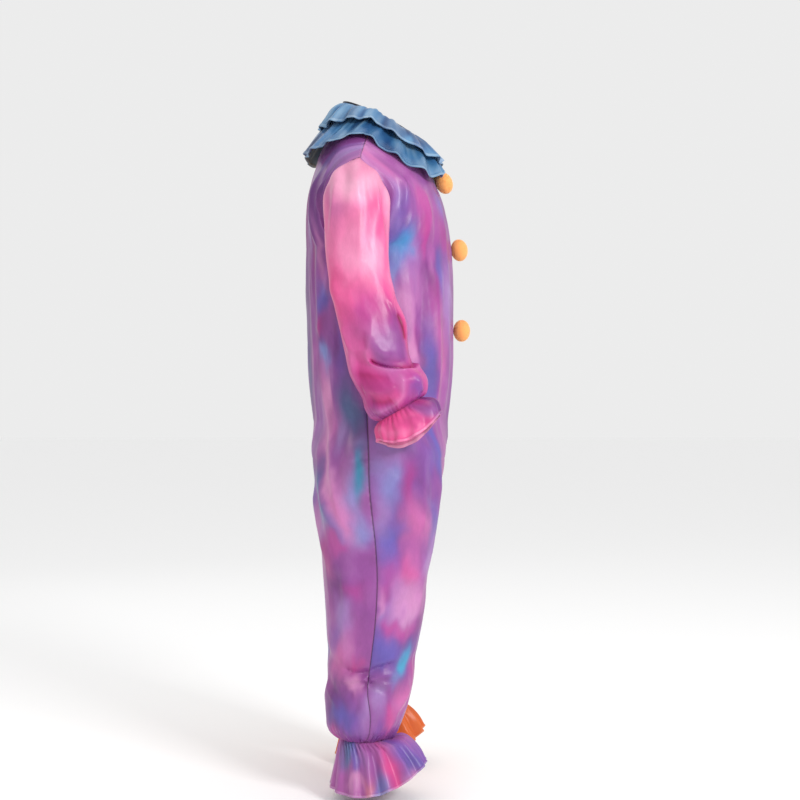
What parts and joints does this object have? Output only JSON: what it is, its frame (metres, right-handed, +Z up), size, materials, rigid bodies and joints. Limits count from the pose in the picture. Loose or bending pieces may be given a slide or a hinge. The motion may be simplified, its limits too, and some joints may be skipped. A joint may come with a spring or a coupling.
{
  "type": "clown jumpsuit",
  "caption": "Full-length clown costume in two-tone satin with a tiered ruffle collar, long gathered sleeves, frilled cuffs and ankles and a pompom front, in its worn shape.",
  "frame": {"origin": "middle of the neck opening, where the wearer's neck and shoulders carry the garment", "axes": "+Z up, the front faces -Y, the wearer's right is -X"},
  "size_m": [0.735, 0.3923, 1.5776],
  "materials": {
    "satin_tie_dye": "purple, pink and blue tie-dyed satin",
    "satin_pink": "pink to magenta tie-dyed satin",
    "satin_orange": "golden orange to orange-red satin",
    "satin_yellow_orange": "yellow-orange satin",
    "satin_blue": "blue satin",
    "binding_navy": "dark navy binding",
    "pompom_orange": "orange pile"
  },
  "bodies": {
    "root": {"front_right": "satin_tie_dye", "back_right": "satin_tie_dye", "ankle_frill_right": "satin_tie_dye", "front_left": "satin_orange", "back_left": "satin_orange", "ankle_frill_left": "satin_orange", "sleeve_right": "satin_pink", "cuff_frill_right": "satin_pink", "sleeve_left": "satin_yellow_orange", "cuff_frill_left": "satin_yellow_orange", "collar_upper_frill": "satin_blue", "collar_lower_frill": "satin_blue", "neck_binding": "binding_navy", "pompom_top": "pompom_orange", "pompom_middle": "pompom_orange", "pompom_bottom": "pompom_orange"}
  },
  "joints": []
}
